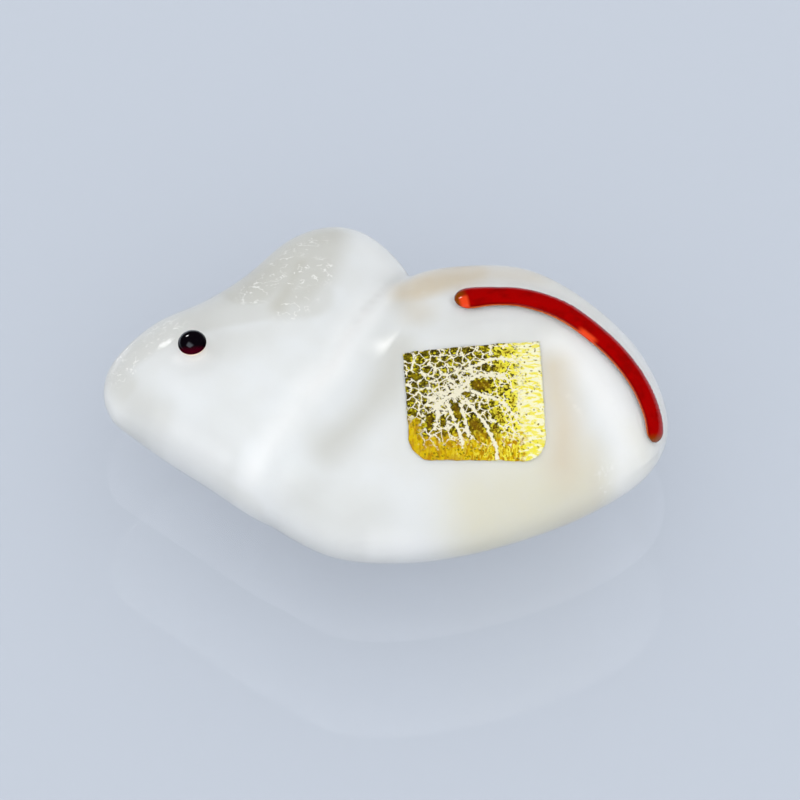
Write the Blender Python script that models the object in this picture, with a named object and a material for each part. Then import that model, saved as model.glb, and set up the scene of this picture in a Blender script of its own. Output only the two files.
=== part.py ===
"""Solid glass rat ornament that lies on its right flank, nose to -X and back to +Y.

An opal glass body is cased in a thin skin of clear glass, with a square of gold leaf trapped between them.
The skin is ground away underneath, so that the figurine rests on a flat. A red glass trail on the back is the
tail, and a black bead is the eye.
"""

import bmesh
import bpy
import numpy as np
from mathutils import Matrix, Vector
from mathutils.bvhtree import BVHTree

MM = 0.001

# Outlines of the two gathers seen from straight above, in millimetres. They overlap at the neck.
HEAD_OUTLINE = {
    "nose_tip": (-28.0, 0.0),
    "nose_bridge": (-26.9, 3.5),
    "brow": (-23.0, 7.4),
    "crown": (-18.0, 10.2),
    "ear_root": (-14.0, 13.35),
    "ear_front": (-9.6, 18.0),
    "ear_top": (-5.2, 19.8),
    "ear_back": (-1.2, 18.5),
    "ear_fold": (2.5, 13.9),
    "neck_back": (3.4, 8.5),
    "neck_end": (3.0, 0.5),
    "neck_front": (-0.5, -8.5),
    "breast": (-5.5, -15.2),
    "chest": (-11.2, -15.3),
    "throat": (-18.5, -9.7),
    "chin": (-24.6, -5.0),
    "lip": (-27.1, -3.0),
}
BODY_OUTLINE = {
    "withers": (-0.8, 9.6),
    "nape": (2.9, 13.45),
    "shoulder": (8.5, 14.6),
    "back": (14.5, 14.0),
    "haunch": (20.5, 9.9),
    "rump": (25.6, 3.9),
    "rump_end": (28.1, -3.6),
    "thigh": (26.2, -9.2),
    "flank": (20.0, -13.7),
    "belly_rear": (11.5, -17.5),
    "belly": (3.0, -19.5),
    "belly_front": (-4.8, -19.2),
    "chest": (-11.2, -15.3),
    "chest_front": (-12.8, -12.4),
    "collar": (-8.9, -4.4),
    "neck_side": (-4.4, 4.0),
}

# Half of the rat's width from the sagittal plane up to the left flank, at places along its length
HEAD_HALF_WIDTH = {"muzzle": (-28.0, 4.4), "cheek": (-20.0, 5.9), "jowl": (-11.0, 6.6), "neck": (3.4, 5.4)}
BODY_HALF_WIDTH = {"breast": (-12.8, 5.8), "ribs": (0.0, 7.5), "hips": (14.0, 7.5), "seat": (28.1, 6.0)}

# How full the flank underneath is along the length, as a share of its deepest section
UNDERSIDE_FULLNESS = {
    "muzzle": (-28.0, 0.58),
    "cheek": (-20.0, 0.78),
    "jowl": (-11.0, 0.88),
    "ribs": (1.0, 0.98),
    "hips": (14.0, 1.0),
    "seat": (28.1, 0.8),
}

NOSE_ROUND = 8.0 * MM
NECK_ROUND = 14.0 * MM
BREAST_ROUND = 17.0 * MM
RUMP_ROUND = 11.0 * MM
NECK_BLEND = 1.0 * MM

# Height of the sagittal plane over the table, and how much of the opal is ground away below
SAGITTAL_HEIGHT = 7.1 * MM
CORE_GRIND = 0.8 * MM

# The casing's thickness on the two flanks, round the ear and the back, and under the belly and the chin
CROWN_WALL = 0.9 * MM
EDGE_WALL = 0.45 * MM
BELLY_WALL = 1.1 * MM
CLEARANCE = 0.3 * MM

LEAF_THICKNESS = 0.15 * MM
LEAF_PLACE = (9.1 * MM, -5.5 * MM)
LEAF_LENGTH = 13.5 * MM
LEAF_WIDTH = 12.4 * MM
LEAF_CORNER = 3.0 * MM
LEAF_TAPER = 0.5 * MM
LEAF_TURN = np.radians(3)
LEAF_COLUMNS = 14
LEAF_ROWS = 12

TAIL_ROUTE = [
    (8.6, 6.9),
    (10.7, 7.15),
    (13.8, 7.0),
    (17.5, 5.6),
    (21.2, 2.75),
    (23.6, 0.35),
    (25.4, -2.2),
    (26.5, -4.8),
    (26.8, -6.5),
]
TAIL_ROOT_RADIUS = 1.6 * MM
TAIL_WAIST_RADIUS = 1.45 * MM
TAIL_RADIUS = 1.5 * MM
TAIL_TIP_RADIUS = 1.15 * MM
TAIL_ROOT_END = 0.08
TAIL_WAIST = 0.2
TAIL_FULL = 0.4
TAIL_RISE = 0.55 * MM
TAIL_DIP = 0.2 * MM

EYE_PLACE = (-19.25 * MM, 1.3 * MM)
EYE_RADIUS = 1.37 * MM
EYE_RISE = 1.7 * MM
EYE_DIP = 0.3 * MM

STATIONS = 52
SECTION_POINTS = 32
TAIL_SIDES = 14
TAIL_STEPS = 4
TAIL_END_TURNS = (0.3, 0.8, 1.2)
EYE_SEGMENTS = 20
CURVE_STEPS = 12
FOLD_STEPS = 400
NORMAL_REACH = 1.5 * MM
SHARP_ANGLE = np.radians(40)
GRINDING_TOLERANCE = 1e-7
FAR_ABOVE = 1.0
DOWN = Vector((0, 0, -1))


def clear_scene():
    for thing in list(bpy.data.objects):
        bpy.data.objects.remove(thing)


def smooth_curve(knots, steps, closed):
    """Points of a Catmull-Rom curve through the knots, in metres."""
    points = np.array(knots, float) * MM
    if closed:
        padded = np.vstack([points[-1], points, points[:2]])
    else:
        padded = np.vstack([2 * points[0] - points[1], points, 2 * points[-1] - points[-2]])
    share = np.linspace(0, 1, steps, endpoint=False)[:, None]
    pieces = []
    for before, start, end, after in zip(padded, padded[1:], padded[2:], padded[3:]):
        slope = (end - before) / 2
        next_slope = (after - start) / 2
        bend = 3 * (end - start) - 2 * slope - next_slope
        twist = 2 * (start - end) + slope + next_slope
        pieces.append(start + slope * share + bend * share**2 + twist * share**3)
    if not closed:
        pieces.append(points[-1:])
    return np.vstack(pieces)


def rounding(distance, reach):
    """Share of the full width at a distance from a rounded end."""
    return np.sqrt(1 - (1 - np.clip(distance / reach, 0, 1)) ** 2)


def casing_wall(normal):
    """Thickness of the casing where its surface faces along a normal."""
    flanks = (CROWN_WALL - EDGE_WALL) * normal.z**2
    belly = (BELLY_WALL - EDGE_WALL) * min(normal.y, 0) ** 2
    return EDGE_WALL + flanks + belly


class Gather:
    """One rounded mass of glass, given by its outline from above and its half width along its length."""

    def __init__(self, outline, half_width, front_round, rear_round):
        curve = smooth_curve(list(outline.values()), CURVE_STEPS, closed=True)
        curve = np.roll(curve, -int(curve[:, 0].argmin()), axis=0)
        rear = int(curve[:, 0].argmax())
        self.back = curve[: rear + 1]
        self.belly = np.vstack([curve[rear:], curve[:1]])[::-1]
        self.front = curve[0]
        self.rear = curve[rear]
        self.widths = smooth_curve(list(half_width.values()), CURVE_STEPS, closed=False)
        self.front_round = front_round
        self.rear_round = rear_round

    def edges(self, x):
        """The belly's and the back's edge of the section at x, or none past the ends."""
        if not self.front[0] < x < self.rear[0]:
            return np.inf, -np.inf
        return np.interp(x, *self.belly.T), np.interp(x, *self.back.T)

    def half_width(self, x):
        ends = rounding(x - self.front[0], self.front_round) * rounding(self.rear[0] - x, self.rear_round)
        return np.interp(x, *self.widths.T) * ends

    def height(self, x, y):
        """Height of the gather's surface over the sagittal plane at a place seen from above."""
        low, high = self.edges(x)
        if not low < y < high:
            return 0.0
        across = (2 * y - low - high) / (high - low)
        return self.half_width(x) * np.sqrt(1 - across**2)


class RatForm:
    """Outer surface of the rat: the head's gather and the body's gather, run together at the neck."""

    def __init__(self):
        self.head = Gather(HEAD_OUTLINE, HEAD_HALF_WIDTH, NOSE_ROUND, NECK_ROUND)
        self.body = Gather(BODY_OUTLINE, BODY_HALF_WIDTH, BREAST_ROUND, RUMP_ROUND)
        self.fullness = smooth_curve(list(UNDERSIDE_FULLNESS.values()), CURVE_STEPS, closed=False) / (1, MM)
        self.nose = self.head.front
        self.tail_end = self.body.rear

    def height(self, x, y):
        """Height over the sagittal plane, rounded where the two gathers meet."""
        head = self.head.height(x, y)
        body = self.body.height(x, y)
        blend = min(NECK_BLEND, head, body)
        fillet = max(blend - abs(head - body), 0) ** 2 / (4 * blend) if blend > 0 else 0
        return max(head, body) + fillet

    def depth(self, x):
        """How far the underside bulges under the sagittal plane, so that grinding bares the opal."""
        deepest = SAGITTAL_HEIGHT + CROWN_WALL + CLEARANCE + CORE_GRIND
        ends = rounding(x - self.nose[0], NOSE_ROUND) * rounding(self.tail_end[0] - x, RUMP_ROUND)
        return deepest * np.interp(x, *self.fullness.T) * ends

    def stations(self):
        """Places of the sections, closer towards both ends, with one on the fold between ear and shoulder."""
        middle = (self.nose[0] + self.tail_end[0]) / 2
        reach = (self.tail_end[0] - self.nose[0]) / 2
        places = middle - reach * np.cos(np.linspace(0, np.pi, STATIONS + 2)[1:-1])
        shared = np.linspace(self.body.front[0], self.head.rear[0], FOLD_STEPS)
        lead = [self.body.edges(x)[1] > self.head.edges(x)[1] for x in shared[1:-1]]
        fold = shared[1 + lead.index(True)]
        places[abs(places - fold).argmin()] = fold
        return places

    def section(self, x):
        """Points round the section at x."""
        edges = np.array([self.head.edges(x), self.body.edges(x)])
        low, high = edges[:, 0].min(), edges[:, 1].max()
        for turn in np.arange(SECTION_POINTS) * 2 * np.pi / SECTION_POINTS:
            y = (low + high) / 2 + (high - low) / 2 * np.cos(turn)
            lift = self.height(x, y) if np.sin(turn) > 0 else self.depth(x) * np.sin(turn)
            yield Vector((x, y, SAGITTAL_HEIGHT + lift))

    def skin(self, depth, cased):
        """Closed mesh of the form, sunk by the depth under its surface or, where cased, under the casing."""
        mesh = bmesh.new()
        rings = [[mesh.verts.new(point) for point in self.section(x)] for x in self.stations()]
        for ring, following in zip(rings, rings[1:]):
            for i in range(SECTION_POINTS):
                mesh.faces.new((ring[i], ring[i - 1], following[i - 1], following[i]))
        for tip, ring in ((self.nose, rings[0]), (self.tail_end, rings[-1])):
            pole = mesh.verts.new((tip[0], tip[1], SAGITTAL_HEIGHT))
            for i in range(SECTION_POINTS):
                mesh.faces.new((pole, ring[i], ring[i - 1]))
        bmesh.ops.recalc_face_normals(mesh, faces=mesh.faces)
        mesh.normal_update()
        for vertex, normal in [(v, v.normal.copy()) for v in mesh.verts]:
            vertex.co -= normal * (depth + (casing_wall(normal) if cased else 0))
        return mesh


class Surface:
    """The rat's upper surface at a depth, for laying pieces on it."""

    def __init__(self, form, depth, cased):
        skin = form.skin(depth, cased)
        self.tree = BVHTree.FromBMesh(skin)
        skin.free()

    def point(self, place):
        """Point of the surface under a place seen from above."""
        return self.tree.ray_cast(Vector((place[0], place[1], FAR_ABOVE)), DOWN)[0]

    def normal(self, point):
        """Outward normal at a point, averaged over the facets round it."""
        near = self.tree.find_nearest_range(point, NORMAL_REACH)
        return sum((normal for _, normal, _, _ in near), Vector()).normalized()


def glass(name, colour, roughness, transmission=0.0):
    material = bpy.data.materials.new(name)
    material.use_nodes = True
    shader = material.node_tree.nodes["Principled BSDF"]
    shader.inputs["Base Color"].default_value = (*colour, 1)
    shader.inputs["Roughness"].default_value = roughness
    shader.inputs["Metallic"].default_value = 0
    shader.inputs["Transmission Weight"].default_value = transmission
    shader.inputs["IOR"].default_value = 1.5
    return material


def gold(name):
    material = glass(name, (0.62, 0.55, 0.05), 0.35)
    material.node_tree.nodes["Principled BSDF"].inputs["Metallic"].default_value = 1
    return material


def add_object(name, mesh, material):
    """Object of this bmesh with one material, smooth but for sharp edges."""
    bmesh.ops.recalc_face_normals(mesh, faces=mesh.faces)
    data = bpy.data.meshes.new(name)
    mesh.to_mesh(data)
    mesh.free()
    data.shade_smooth()
    data.set_sharp_from_angle(angle=SHARP_ANGLE)
    if material:
        data.materials.append(material)
    thing = bpy.data.objects.new(name, data)
    bpy.context.scene.collection.objects.link(thing)
    return thing


def subtract(thing, cutter):
    cutter.hide_render = True
    cutter.display_type = "WIRE"
    cut = thing.modifiers.new("cut", "BOOLEAN")
    cut.operation = "DIFFERENCE"
    cut.object = cutter
    cut.solver = "EXACT"


def ground_skin(form, depth, cased):
    """The form's skin at a depth, open where it is ground flat."""
    mesh = form.skin(depth, cased)
    parts = list(mesh.verts) + list(mesh.edges) + list(mesh.faces)
    bmesh.ops.bisect_plane(
        mesh, geom=parts, dist=GRINDING_TOLERANCE, plane_co=(0, 0, 0), plane_no=-DOWN, clear_inner=True
    )
    return mesh


def open_edges(mesh):
    return [edge for edge in mesh.edges if edge.is_boundary]


def make_casing(form, seated):
    """Clear glass skin, ground through underneath, with a seat for each piece pressed into it."""
    mesh = ground_skin(form, 0, cased=False)
    inside = ground_skin(form, 0, cased=True)
    bmesh.ops.reverse_faces(inside, faces=inside.faces)
    wall = bpy.data.meshes.new("casing_inside")
    inside.to_mesh(wall)
    inside.free()
    mesh.from_mesh(wall)
    bpy.data.meshes.remove(wall)
    bmesh.ops.bridge_loops(mesh, edges=open_edges(mesh))
    casing = add_object("glass_casing", mesh, glass("clear_glass", (0.95, 0.97, 0.98), 0.03, 1.0))
    for name, make_mesh in seated.items():
        subtract(casing, add_object(name + "_seat_cutter", make_mesh(form, CLEARANCE), None))
    return casing


def make_body(form):
    """Opal glass body with its ground flat and the shallow bed of the leaf."""
    mesh = ground_skin(form, CLEARANCE, cased=True)
    bmesh.ops.holes_fill(mesh, edges=open_edges(mesh))
    body = add_object("opal_body", mesh, glass("opal_glass", (0.86, 0.87, 0.88), 0.12))
    bed = draped_slab(form, 0, LEAF_THICKNESS + 2 * CLEARANCE, CLEARANCE)
    subtract(body, add_object("leaf_bed_cutter", bed, None))
    return body


def leaf_place(along, across, grow):
    """Place seen from above of a point of the leaf, whose corners towards the belly are rounded off."""
    half_width = LEAF_WIDTH / 2 + grow
    corner = LEAF_CORNER + grow
    y = half_width * across
    half_length = LEAF_LENGTH / 2 + grow + LEAF_TAPER * across / 2
    tuck = max(corner - half_width - y, 0)
    half_length -= corner - np.sqrt(corner**2 - tuck**2)
    turned = Matrix.Rotation(LEAF_TURN, 2) @ Vector((half_length * along, y))
    return turned + Vector(LEAF_PLACE)


def draped_slab(form, top_depth, bottom_depth, grow):
    """Slab of the leaf's outline between two depths under the casing."""
    mesh = bmesh.new()
    sheets = []
    for depth in (top_depth, bottom_depth):
        surface = Surface(form, depth, cased=True)
        sheet = []
        for row in range(LEAF_ROWS + 1):
            across = -np.cos(np.pi * row / LEAF_ROWS)
            for column in range(LEAF_COLUMNS + 1):
                place = leaf_place(2 * column / LEAF_COLUMNS - 1, across, grow)
                sheet.append(mesh.verts.new(surface.point(place)))
        sheets.append(sheet)
    wide = LEAF_COLUMNS + 1
    for row in range(LEAF_ROWS):
        for column in range(LEAF_COLUMNS):
            first = row * wide + column
            corners = (first, first + 1, first + wide + 1, first + wide)
            for sheet in sheets:
                mesh.faces.new([sheet[i] for i in corners])
    bmesh.ops.bridge_loops(mesh, edges=open_edges(mesh))
    return mesh


def make_leaf(form):
    """Gold leaf that lies in its bed on the body, under the casing."""
    leaf = draped_slab(form, CLEARANCE, CLEARANCE + LEAF_THICKNESS, 0)
    return add_object("gold_leaf", leaf, gold("gold_leaf"))


def tail_mesh(form, grow):
    """Flattened trail with round ends along the back, sunk into the surface by its dip."""
    surface = Surface(form, 0, cased=False)
    points = [surface.point(place) for place in smooth_curve(TAIL_ROUTE, TAIL_STEPS, closed=False)]
    normals = [surface.normal(point) for point in points]
    last = len(points) - 1
    stops = (0, TAIL_ROOT_END, TAIL_WAIST, TAIL_FULL, 1)
    radii = (TAIL_ROOT_RADIUS, TAIL_ROOT_RADIUS, TAIL_WAIST_RADIUS, TAIL_RADIUS, TAIL_TIP_RADIUS)
    middle = (TAIL_RISE - TAIL_DIP) / 2
    thick = (TAIL_RISE + TAIL_DIP) / 2 + grow
    mesh = bmesh.new()
    rings = []
    for index, (point, normal) in enumerate(zip(points, normals)):
        forward = (points[min(index + 1, last)] - points[max(index - 1, 0)]).normalized()
        side = forward.cross(normal).normalized()
        radius = np.interp(index / last, stops, radii) + grow
        turns = [np.pi / 2]
        if index == 0:
            turns = list(TAIL_END_TURNS) + turns
        elif index == last:
            turns += [np.pi - turn for turn in reversed(TAIL_END_TURNS)]
        for turn in turns:
            centre = point + normal * middle - forward * radius * np.cos(turn)
            ring = []
            for step in np.arange(TAIL_SIDES) * 2 * np.pi / TAIL_SIDES:
                offset = side * radius * np.cos(step) + normal * thick * np.sin(step)
                ring.append(mesh.verts.new(centre + offset * np.sin(turn)))
            rings.append(ring)
    for ring, following in zip(rings, rings[1:]):
        for i in range(TAIL_SIDES):
            mesh.faces.new((ring[i], ring[i - 1], following[i - 1], following[i]))
    mesh.faces.new(rings[0])
    mesh.faces.new(rings[-1])
    bmesh.ops.recalc_face_normals(mesh, faces=mesh.faces)
    return mesh


def eye_mesh(form, grow):
    """Flattened bead on the head, sunk into the surface by its dip."""
    surface = Surface(form, 0, cased=False)
    point = surface.point(EYE_PLACE)
    normal = surface.normal(point)
    radius = EYE_RADIUS + grow
    thick = (EYE_RISE + EYE_DIP) / 2 + grow
    mesh = bmesh.new()
    bmesh.ops.create_uvsphere(mesh, u_segments=EYE_SEGMENTS, v_segments=EYE_SEGMENTS // 2, radius=radius)
    bmesh.ops.scale(mesh, vec=(1, 1, thick / radius), verts=mesh.verts)
    bmesh.ops.transform(mesh, matrix=normal.to_track_quat("Z", "Y").to_matrix().to_4x4(), verts=mesh.verts)
    bmesh.ops.translate(mesh, vec=point + normal * (EYE_RISE - EYE_DIP) / 2, verts=mesh.verts)
    return mesh


def main():
    clear_scene()
    form = RatForm()
    make_body(form)
    make_casing(form, {"tail": tail_mesh, "eye": eye_mesh})
    make_leaf(form)
    add_object("tail", tail_mesh(form, 0), glass("red_glass", (0.42, 0.01, 0.0), 0.05))
    add_object("eye", eye_mesh(form, 0), glass("black_glass", (0.01, 0.005, 0.008), 0.04))


main()
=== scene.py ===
"""Looks of a cased-glass rat ornament that lies on its right flank on a pale table.

The rat is an opal core in a clear glass casing, with a crackled gold leaf between the two, a red trailed
tail and a black bead for an eye. Sizes in the dataclasses are in millimetres and become metres when a mesh
is made.
"""
import logging
import math
from dataclasses import dataclass, field
from enum import Enum

import bmesh
import bpy
import numpy as np
from mathutils import Matrix, Vector
from mathutils.bvhtree import BVHTree


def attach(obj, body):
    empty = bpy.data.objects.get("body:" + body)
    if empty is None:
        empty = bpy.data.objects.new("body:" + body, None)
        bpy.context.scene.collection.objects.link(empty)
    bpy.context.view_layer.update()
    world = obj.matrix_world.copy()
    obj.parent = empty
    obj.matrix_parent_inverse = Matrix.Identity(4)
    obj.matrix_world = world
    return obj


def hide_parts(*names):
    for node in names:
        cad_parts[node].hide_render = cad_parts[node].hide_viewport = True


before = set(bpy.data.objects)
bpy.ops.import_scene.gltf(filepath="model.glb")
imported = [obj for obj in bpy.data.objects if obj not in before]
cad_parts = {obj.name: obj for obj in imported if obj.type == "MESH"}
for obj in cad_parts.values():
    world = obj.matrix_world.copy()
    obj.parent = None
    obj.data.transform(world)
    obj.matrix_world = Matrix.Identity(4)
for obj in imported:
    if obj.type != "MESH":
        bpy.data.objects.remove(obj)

LOG = logging.getLogger("rat")
MM = 0.001
BODY = "root"
Place = tuple[float, float]
Colour = tuple[float, float, float]
Socket = bpy.types.NodeSocket


class Kind(Enum):
    """Data types of the attributes that geometry carries to the finishes."""

    NUMBER = "FLOAT"
    VECTOR = "FLOAT_VECTOR"


def srgb(*screen: int) -> Colour:
    """Linear colour of a screen colour, given as red, green and blue from 0 to 255."""
    shares = [value / 255 for value in screen]
    return tuple(part / 12.92 if part <= 0.04045 else ((part + 0.055) / 1.055) ** 2.4 for part in shares)


def under_glass(*screen: int) -> Colour:
    """Linear colour that shows as a screen colour through clear glass, which sends light back in."""
    light, passed, returned, most = 1.25, 0.364, 0.6, 0.985
    return tuple(min(share / (passed * light + returned * share), most) for share in srgb(*screen))


class Wiring:
    """Adds nodes to a tree and links them, for shaders and for Geometry Nodes."""

    def __init__(self, tree: bpy.types.NodeTree) -> None:
        """Keeps the tree."""
        self.tree = tree

    def add(self, kind: str, inputs: dict | None = None, **settings: object) -> bpy.types.Node:
        """Adds a node.

        Args:
            kind: The node's type name.
            inputs: Values or output sockets for its inputs, by name or number.
            **settings: The node's own properties.

        Returns:
            The new node.
        """
        node = self.tree.nodes.new(kind)
        for name, value in settings.items():
            setattr(node, name, value)
        for key, value in (inputs or {}).items():
            self.feed(node.inputs[key], value)
        return node

    def feed(self, socket: Socket, value: object) -> None:
        """Links an output to an input, or sets the input's value.

        Args:
            socket: The input.
            value: A value or an output socket.
        """
        if isinstance(value, Socket):
            self.tree.links.new(value, socket)
        else:
            socket.default_value = (*value, 1.0) if socket.type == "RGBA" else value

    def math(self, operation: str, *values: object) -> Socket:
        """Result of a Math node on values or sockets."""
        return self.add("ShaderNodeMath", dict(enumerate(values)), operation=operation).outputs[0]

    def plus(self, first: object, second: object) -> Socket:
        """Sum of two numbers or sockets."""
        return self.math("ADD", first, second)

    def minus(self, first: object, second: object) -> Socket:
        """Difference of two numbers or sockets."""
        return self.math("SUBTRACT", first, second)

    def times(self, first: object, second: object) -> Socket:
        """Product of two numbers or sockets."""
        return self.math("MULTIPLY", first, second)

    def share(self, part: object, whole: object) -> Socket:
        """Quotient of two numbers or sockets."""
        return self.math("DIVIDE", part, whole)

    def most(self, first: object, second: object) -> Socket:
        """Larger of two numbers or sockets."""
        return self.math("MAXIMUM", first, second)

    def least(self, first: object, second: object) -> Socket:
        """Smaller of two numbers or sockets."""
        return self.math("MINIMUM", first, second)

    def axes(self, vector: Socket) -> list[Socket]:
        """The three parts of a vector."""
        return list(self.add("ShaderNodeSeparateXYZ", {0: vector}).outputs)

    def vector(self, operation: str, *values: object) -> Socket:
        """Result of a Vector Math node on values or sockets."""
        return self.add("ShaderNodeVectorMath", dict(enumerate(values)), operation=operation).outputs[0]

    def remap(self, value: Socket, start: object, end: object,
              low: float = 0.0, high: float = 1.0) -> Socket:
        """Value taken smoothly from one range to another.

        Args:
            value: The socket to read.
            start: Value that gives low.
            end: Value that gives high.
            low: Result at start.
            high: Result at end.

        Returns:
            The output socket.
        """
        inputs = {"Value": value, "From Min": start, "From Max": end, "To Min": low, "To Max": high}
        return self.add("ShaderNodeMapRange", inputs, interpolation_type="SMOOTHSTEP").outputs[0]

    def mix(self, factor: object, first: object, second: object) -> Socket:
        """Mix of two colours, given as sockets or as linear colours.

        Args:
            factor: Share of the second colour.
            first: Colour at 0.
            second: Colour at 1.

        Returns:
            The output socket.
        """
        node = self.add("ShaderNodeMix", data_type="RGBA")
        for number, value in ((0, factor), (6, first), (7, second)):
            self.feed(node.inputs[number], value)
        return node.outputs[2]

    def noise(self, place: Socket, scale: float, detail: float = 2.0, colour: bool = False) -> Socket:
        """Noise at a place, as a number around a half or as a colour."""
        node = self.add("ShaderNodeTexNoise", {"Vector": place, "Scale": scale, "Detail": detail})
        return node.outputs[1 if colour else 0]

    def scaled(self, vector: Socket, factor: object) -> Socket:
        """Vector made longer or shorter."""
        return self.add("ShaderNodeVectorMath", {0: vector, "Scale": factor}, operation="SCALE").outputs[0]

    def warped(self, place: Socket, scale: float, reach: object, detail: float = 2.0) -> Socket:
        """Place shifted by noise, by up to about half the reach each way."""
        shift = self.vector("SUBTRACT", self.noise(place, scale, detail, colour=True), (0.5, 0.5, 0.5))
        return self.vector("ADD", place, self.scaled(shift, reach))

    def combine(self, *parts: object) -> Socket:
        """Vector of up to three numbers or sockets."""
        return self.add("ShaderNodeCombineXYZ", dict(enumerate(parts))).outputs[0]


class Finish(Wiring):
    """A material that is being wired up round its Principled shader."""

    def __init__(self, name: str) -> None:
        """Makes the material with plain settings.

        Args:
            name: The material's name.
        """
        self.material = bpy.data.materials.new(name)
        self.material.use_nodes = True
        super().__init__(self.material.node_tree)
        self.shader = self.tree.nodes["Principled BSDF"]

    def place(self) -> Socket:
        """Place on the object, in millimetres."""
        return self.vector("DIVIDE", self.add("ShaderNodeTexCoord").outputs["Object"], (MM, MM, MM))

    def attribute(self, name: str, kind: Kind = Kind.NUMBER) -> Socket:
        """Value that the mesh carries under a name."""
        node = self.add("ShaderNodeAttribute", attribute_name=name)
        return node.outputs["Fac" if kind is Kind.NUMBER else "Vector"]

    def ragged(self, value: Socket, tear: Socket, reach: float, start: float, end: float,
               high: float = 1.0) -> Socket:
        """Mask with a torn border.

        Args:
            value: The socket to read.
            tear: Noise around 0 that tears the border.
            reach: How far the noise shifts the value.
            start: Value where the mask starts.
            end: Value where it is full.
            high: The full mask.

        Returns:
            The mask's socket.
        """
        return self.remap(self.plus(value, self.times(tear, reach)), start, end, 0.0, high)

    def set(self, **values: object) -> None:
        """Sets or links the shader's inputs, named with underscores for spaces."""
        for name, value in values.items():
            self.feed(self.shader.inputs[name.replace("_", " ")], value)

    def bump(self, height: Socket, strength: float, depth: float) -> None:
        """Raises the surface by a height, by up to a depth in millimetres."""
        inputs = {"Height": height, "Strength": strength, "Distance": depth * MM}
        self.set(Normal=self.add("ShaderNodeBump", inputs).outputs[0])


class Recipe(Wiring):
    """A Geometry Nodes tree with named inputs that makes one plain mesh."""

    def __init__(self, name: str) -> None:
        """Starts the tree with its output.

        Args:
            name: The tree's name.
        """
        super().__init__(bpy.data.node_groups.new(name, "GeometryNodeTree"))
        self.tree.interface.new_socket("Geometry", in_out="OUTPUT", socket_type="NodeSocketGeometry")
        self.entry = self.add("NodeGroupInput")
        self.values: dict[str, object] = {}

    def size(self, name: str, value: float | int | bpy.types.Object) -> Socket:
        """Adds a named input and its value.

        Args:
            name: The input's name.
            value: A number, a count or an object.

        Returns:
            The input's socket inside the tree.
        """
        kinds = {float: "NodeSocketFloat", int: "NodeSocketInt"}
        kind = kinds.get(type(value), "NodeSocketObject")
        socket = self.tree.interface.new_socket(name, in_out="INPUT", socket_type=kind)
        self.values[socket.identifier] = value
        return self.entry.outputs[name]

    def shape(self, name: str, thing: bpy.types.Object) -> Socket:
        """Geometry of an object that is a named input."""
        return self.add("GeometryNodeObjectInfo", {"Object": self.size(name, thing)}).outputs["Geometry"]

    def position(self) -> Socket:
        """Position of the point that is worked on."""
        return self.add("GeometryNodeInputPosition").outputs[0]

    def store(self, geometry: Socket, name: str, value: Socket, kind: Kind = Kind.NUMBER) -> Socket:
        """Keeps a value on every point under a name."""
        inputs = {"Geometry": geometry, "Name": name, "Value": value}
        return self.add("GeometryNodeStoreNamedAttribute", inputs, data_type=kind.value).outputs[0]

    def recall(self, name: str, kind: Kind = Kind.NUMBER) -> Socket:
        """Value that the points carry under a name."""
        return self.add("GeometryNodeInputNamedAttribute", {"Name": name}, data_type=kind.value).outputs[0]

    def move(self, geometry: Socket, position: Socket) -> Socket:
        """Geometry with its points put elsewhere."""
        return self.add("GeometryNodeSetPosition", {"Geometry": geometry, "Position": position}).outputs[0]

    def drop(self, bed: Socket, position: Socket) -> bpy.types.Node:
        """Raycast that goes straight down on a bed from high above a position.

        Args:
            bed: Geometry to land on.
            position: Where to start from, seen from above.

        Returns:
            The raycast's node.
        """
        start = self.vector("ADD", self.vector("MULTIPLY", position, (1.0, 1.0, 0.0)), (0.0, 0.0, 1.0))
        inputs = {"Target Geometry": bed, "Source Position": start, "Ray Direction": (0.0, 0.0, -1.0)}
        return self.add("GeometryNodeRaycast", inputs)

    def make(self, name: str, geometry: Socket, material: bpy.types.Material,
             merged: float) -> bpy.types.Object:
        """Runs the tree.

        Args:
            name: The new object's name.
            geometry: The finished shape.
            material: Its finish.
            merged: Distance in metres within which points become one.

        Returns:
            An object with a plain mesh.
        """
        whole = self.add("GeometryNodeMergeByDistance", {0: geometry, 2: merged}).outputs[0]
        whole = self.add("GeometryNodeSetShadeSmooth", {0: whole}).outputs[0]
        dressed = self.add("GeometryNodeSetMaterial", {0: whole, "Material": material}).outputs[0]
        self.add("NodeGroupOutput", {0: dressed})
        thing = mesh_object(name, bmesh.new())
        modifier = thing.modifiers.new("recipe", "NODES")
        modifier.node_group = self.tree
        for identifier, value in self.values.items():
            modifier[identifier] = value
        return settle(thing)


def mesh_object(name: str, mesh: bmesh.types.BMesh,
                material: bpy.types.Material | None = None) -> bpy.types.Object:
    """Object of a bmesh, shaded smooth and at the origin.

    Args:
        name: The object's name.
        mesh: The shape, which is freed.
        material: Its finish, where it shows.

    Returns:
        The new object.
    """
    data = bpy.data.meshes.new(name)
    mesh.to_mesh(data)
    mesh.free()
    data.shade_smooth()
    if material:
        data.materials.append(material)
    thing = bpy.data.objects.new(name, data)
    bpy.context.scene.collection.objects.link(thing)
    return thing


def settle(thing: bpy.types.Object) -> bpy.types.Object:
    """Replaces an object's mesh by its evaluated one and drops its modifiers.

    Args:
        thing: The object to change.

    Returns:
        The same object, with a plain mesh.
    """
    graph = bpy.context.evaluated_depsgraph_get()
    data = bpy.data.meshes.new_from_object(thing.evaluated_get(graph))
    thing.modifiers.clear()
    thing.data = data
    return thing


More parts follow.
